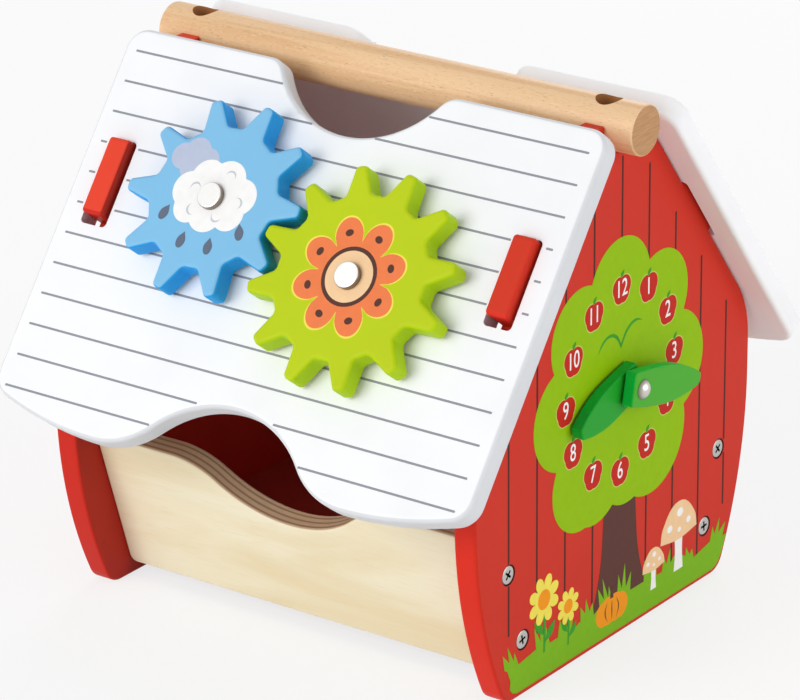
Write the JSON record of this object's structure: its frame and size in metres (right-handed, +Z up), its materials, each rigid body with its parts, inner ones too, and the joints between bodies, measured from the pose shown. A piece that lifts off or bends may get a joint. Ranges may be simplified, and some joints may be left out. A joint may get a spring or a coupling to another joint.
{
  "type": "activity farmhouse",
  "caption": "Wooden farmhouse toy with a carrying bar, lift-off roof panels, meshing gears on the roof and a clock with turning hands on one gable.",
  "frame": {"origin": "on the ground, under the middle of the ridge", "axes": "+X along the ridge towards the gable with the clock, -Y towards the roof panel with the gears, +Z up"},
  "size_m": [0.2771, 0.2986, 0.2686],
  "materials": {
    "red_paint": "satin paint on birch plywood",
    "white_paint": "satin white paint on birch plywood",
    "birch_ply": "clear varnish on birch plywood",
    "beech": "clear varnish on beech",
    "blue_paint": "satin blue paint",
    "green_paint": "satin yellow-green paint",
    "hand_green_paint": "satin green paint",
    "zinc_steel": "zinc plated",
    "nickel_steel": "polished nickel plate",
    "nylon": "natural nylon"
  },
  "bodies": {
    "house": {"gable_right": "red_paint", "gable_left": "red_paint", "front_wall": "birch_ply", "back_wall": "birch_ply", "floor_panel": "birch_ply", "handle_bar": "beech", "handle_screws": "zinc_steel", "wall_screws_right": "zinc_steel", "wall_screws_left": "zinc_steel", "clock_bolt": "nickel_steel", "clock_nut": "nickel_steel", "clock_washers": "nylon"},
    "front_roof": {"front_roof_panel": "white_paint", "blue_gear_spacer": "nylon", "green_gear_spacer": "nylon", "blue_gear_bolt": "nickel_steel", "green_gear_bolt": "nickel_steel", "blue_gear_nut": "nickel_steel", "green_gear_nut": "nickel_steel"},
    "back_roof": {"back_roof_panel": "white_paint"},
    "blue_wheel": {"blue_gear": "blue_paint"},
    "green_wheel": {"green_gear": "green_paint"},
    "hour": {"hour_hand": "hand_green_paint"},
    "minute": {"minute_hand": "hand_green_paint"}
  },
  "joints": [
    {"name": "front_roof_lift", "type": "slide", "parent": "house", "child": "front_roof", "axis": [0, -0.7939, 0.6081], "range_m": [0, 0.06]},
    {"name": "back_roof_lift", "type": "slide", "parent": "house", "child": "back_roof", "axis": [0, 0.7939, 0.6081], "range_m": [0, 0.06]},
    {"name": "green_gear_spin", "type": "hinge", "parent": "front_roof", "child": "green_wheel", "pos_m": [0.04171, -0.09462, 0.1927], "axis": [0, -0.7939, 0.6081], "continuous": true},
    {"name": "blue_gear_spin", "type": "hinge", "parent": "front_roof", "child": "blue_wheel", "pos_m": [-0.04631, -0.0821, 0.20906], "axis": [0, -0.7939, 0.6081], "continuous": true},
    {"name": "hour_hand_turn", "type": "hinge", "parent": "house", "child": "hour", "pos_m": [0.1225, 0, 0.1298], "axis": [1, 0, 0], "continuous": true},
    {"name": "minute_hand_turn", "type": "hinge", "parent": "house", "child": "minute", "pos_m": [0.1225, 0, 0.1298], "axis": [1, 0, 0], "continuous": true}
  ],
  "couplings": [
    {"joint": "blue_gear_spin", "follows": "green_gear_spin", "ratio": -1.2}
  ]
}
